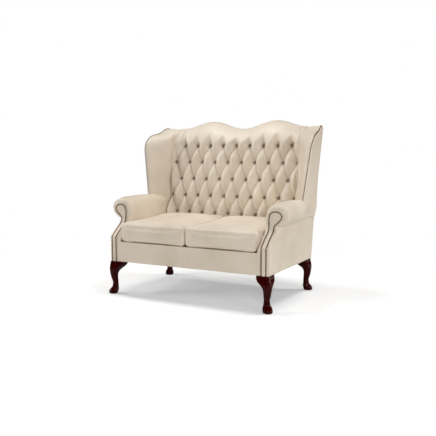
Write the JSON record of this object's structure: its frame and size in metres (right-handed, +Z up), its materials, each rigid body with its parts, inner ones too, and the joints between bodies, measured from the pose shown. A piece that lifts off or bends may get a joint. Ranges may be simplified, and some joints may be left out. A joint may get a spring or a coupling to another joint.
{
  "type": "settee",
  "caption": "Leather high back settee with loose seat cushions, a deep buttoned back under a serpentine crest, wings, nailed scroll arms and cabriole legs.",
  "frame": {"origin": "on the floor, under the middle of the settee's box", "axes": "+X to the right of someone facing the settee, +Y from its front to its back, +Z up"},
  "size_m": [1.182, 0.8116, 1.0699],
  "materials": {
    "stuffed_leather": "satin",
    "leather_cover": "satin",
    "button_leather": "satin",
    "beech": "matte",
    "spring_steel": "satin",
    "seat_felt": "matte",
    "black_cloth": "matte",
    "hessian": "matte",
    "mahogany": "gloss",
    "antique_brass": "satin"
  },
  "bodies": {
    "frame": {"back_pad": "stuffed_leather", "arm_pad_right": "stuffed_leather", "arm_pad_left": "stuffed_leather", "wing_pad_right": "stuffed_leather", "wing_pad_left": "stuffed_leather", "front_border": "leather_cover", "outside_back": "leather_cover", "arm_facing_right": "leather_cover", "arm_facing_left": "leather_cover", "outside_arm_right": "leather_cover", "outside_arm_left": "leather_cover", "outside_wing_right": "leather_cover", "outside_wing_left": "leather_cover", "button_row_1": "button_leather", "button_row_2": "button_leather", "button_row_3": "button_leather", "button_row_4": "button_leather", "button_row_5": "button_leather", "front_rail": "beech", "back_rail": "beech", "centre_seat_brace": "beech", "side_rail_right": "beech", "side_rail_left": "beech", "front_corner_block_right": "beech", "front_corner_block_left": "beech", "rear_corner_block_right": "beech", "rear_corner_block_left": "beech", "front_post_right": "beech", "front_post_left": "beech", "back_post_right": "beech", "back_post_left": "beech", "arm_rail_right": "beech", "arm_rail_left": "beech", "wing_frame_right": "beech", "wing_frame_left": "beech", "top_back_rail": "beech", "lower_back_rail": "beech", "centre_back_post": "beech", "seat_spring_1": "spring_steel", "seat_spring_2": "spring_steel", "seat_spring_3": "spring_steel", "seat_spring_4": "spring_steel", "seat_spring_5": "spring_steel", "seat_deck": "seat_felt", "dust_cover": "black_cloth", "back_hessian": "hessian", "front_leg_right": "mahogany", "front_leg_left": "mahogany", "rear_leg_right": "mahogany", "rear_leg_left": "mahogany", "back_nail_trim": "antique_brass", "arm_nail_trim_right": "antique_brass", "arm_nail_trim_left": "antique_brass", "wing_nail_trim_right": "antique_brass", "wing_nail_trim_left": "antique_brass"},
    "seat_cushion_left": {"seat_cushion_left": "stuffed_leather"},
    "seat_cushion_right": {"seat_cushion_right": "stuffed_leather"}
  },
  "joints": [
    {"name": "seat_cushion_left_lift", "type": "slide", "parent": "frame", "child": "seat_cushion_left", "axis": [0, 0, 1], "range_m": [0, 0.3]},
    {"name": "seat_cushion_right_lift", "type": "slide", "parent": "frame", "child": "seat_cushion_right", "axis": [0, 0, 1], "range_m": [0, 0.3]}
  ]
}
